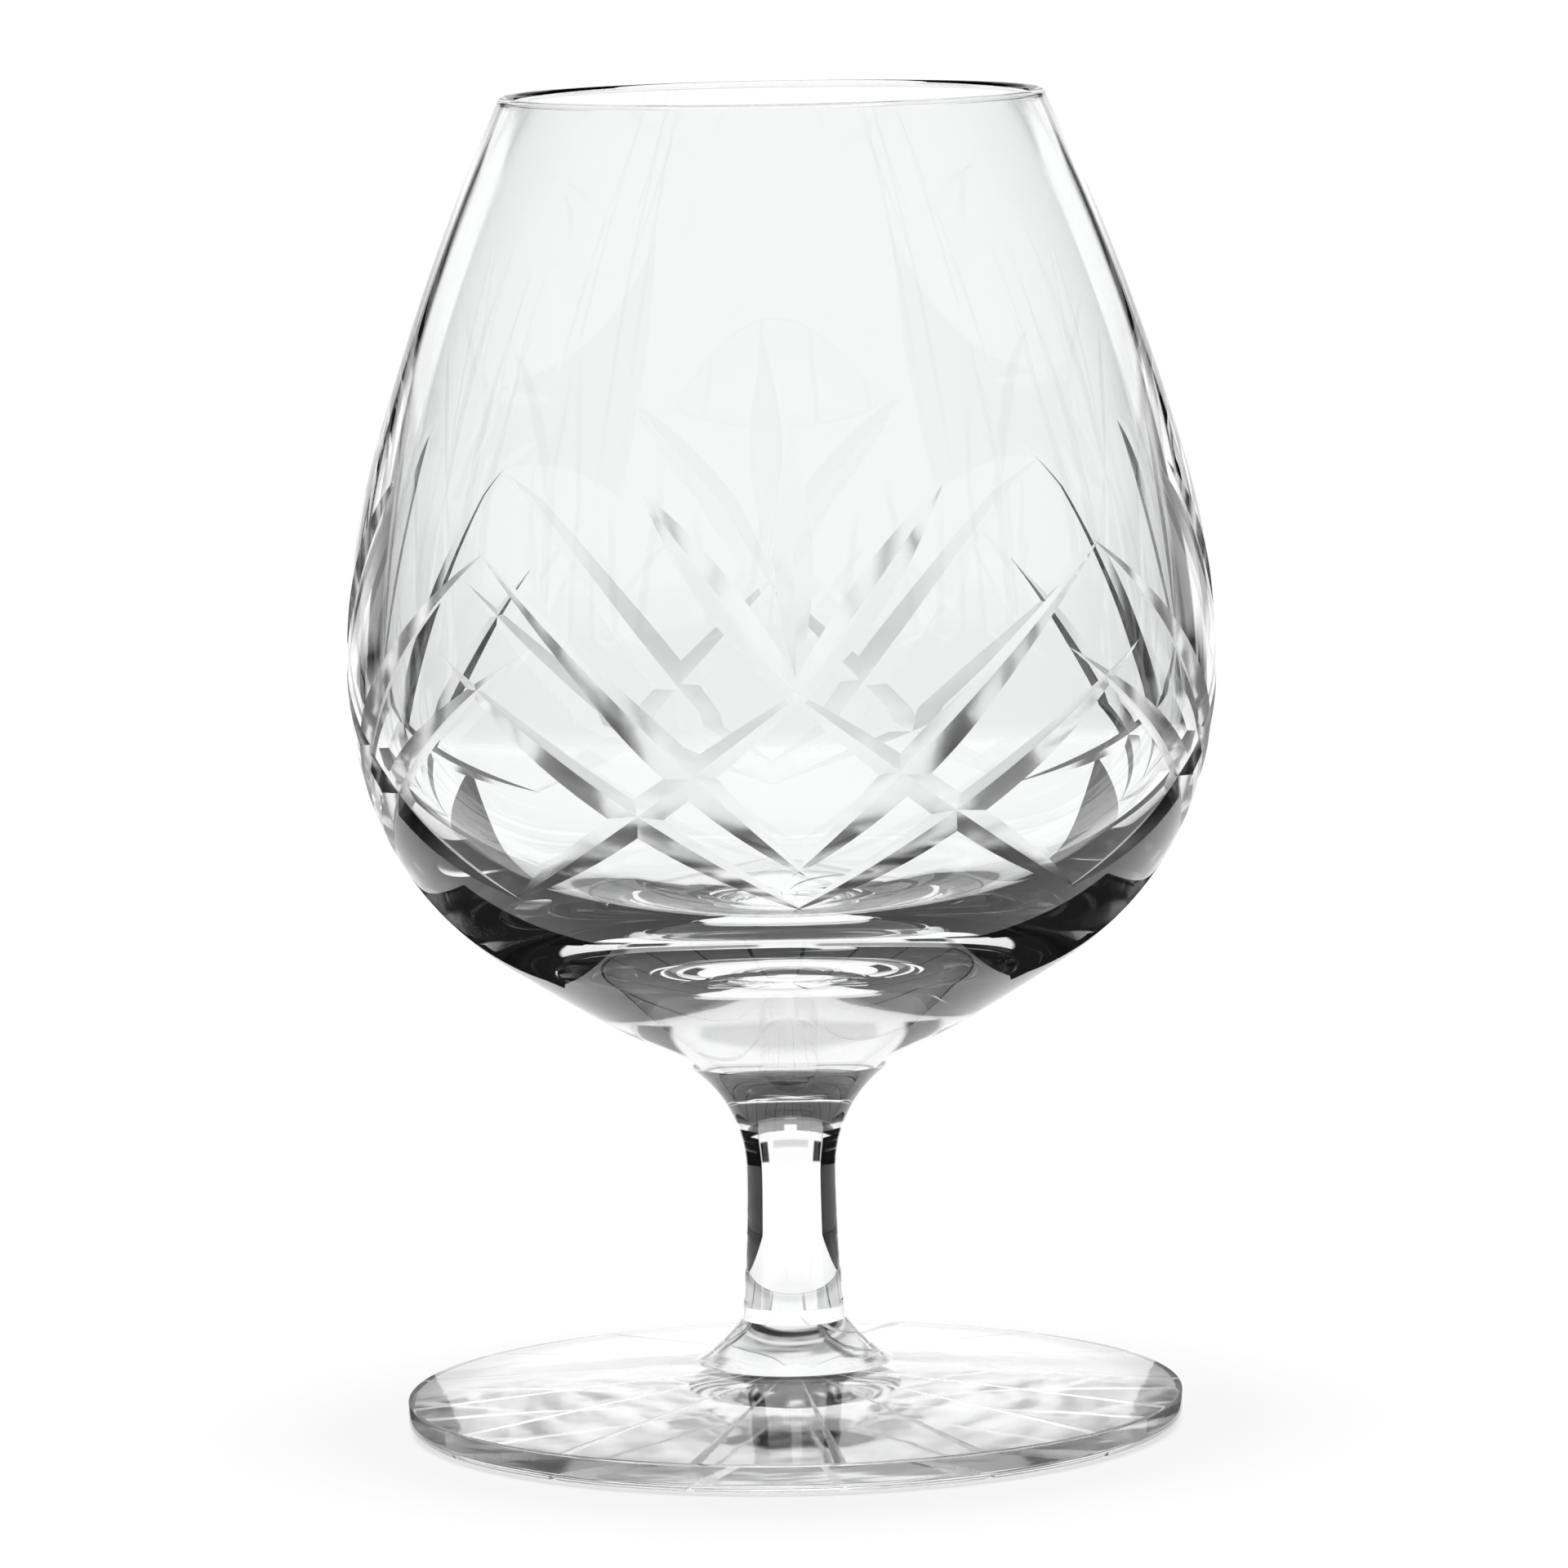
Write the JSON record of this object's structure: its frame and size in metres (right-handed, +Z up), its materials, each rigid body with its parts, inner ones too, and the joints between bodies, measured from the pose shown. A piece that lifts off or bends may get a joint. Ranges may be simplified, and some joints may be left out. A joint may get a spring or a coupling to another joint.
{
  "type": "brandy snifter",
  "caption": "Stemmed drinking glass of clear cut crystal with a wide round bowl that narrows to the rim, a short waisted stem and a flat star-cut foot.",
  "frame": {"origin": "centre of the foot's flat underside, on the table", "axes": "+Z up along the glass's axis, -Y through the middle of one fan of the cut pattern"},
  "size_m": [0.0812, 0.0812, 0.125],
  "materials": {
    "crystal_bowl": "clear, fire-polished, with polished mitre cuts",
    "crystal_stem": "clear, fire-polished",
    "crystal_foot": "clear, polished, with a star cut in the underside"
  },
  "bodies": {
    "root": {"bowl": "crystal_bowl", "stem": "crystal_stem", "foot": "crystal_foot"}
  },
  "joints": []
}
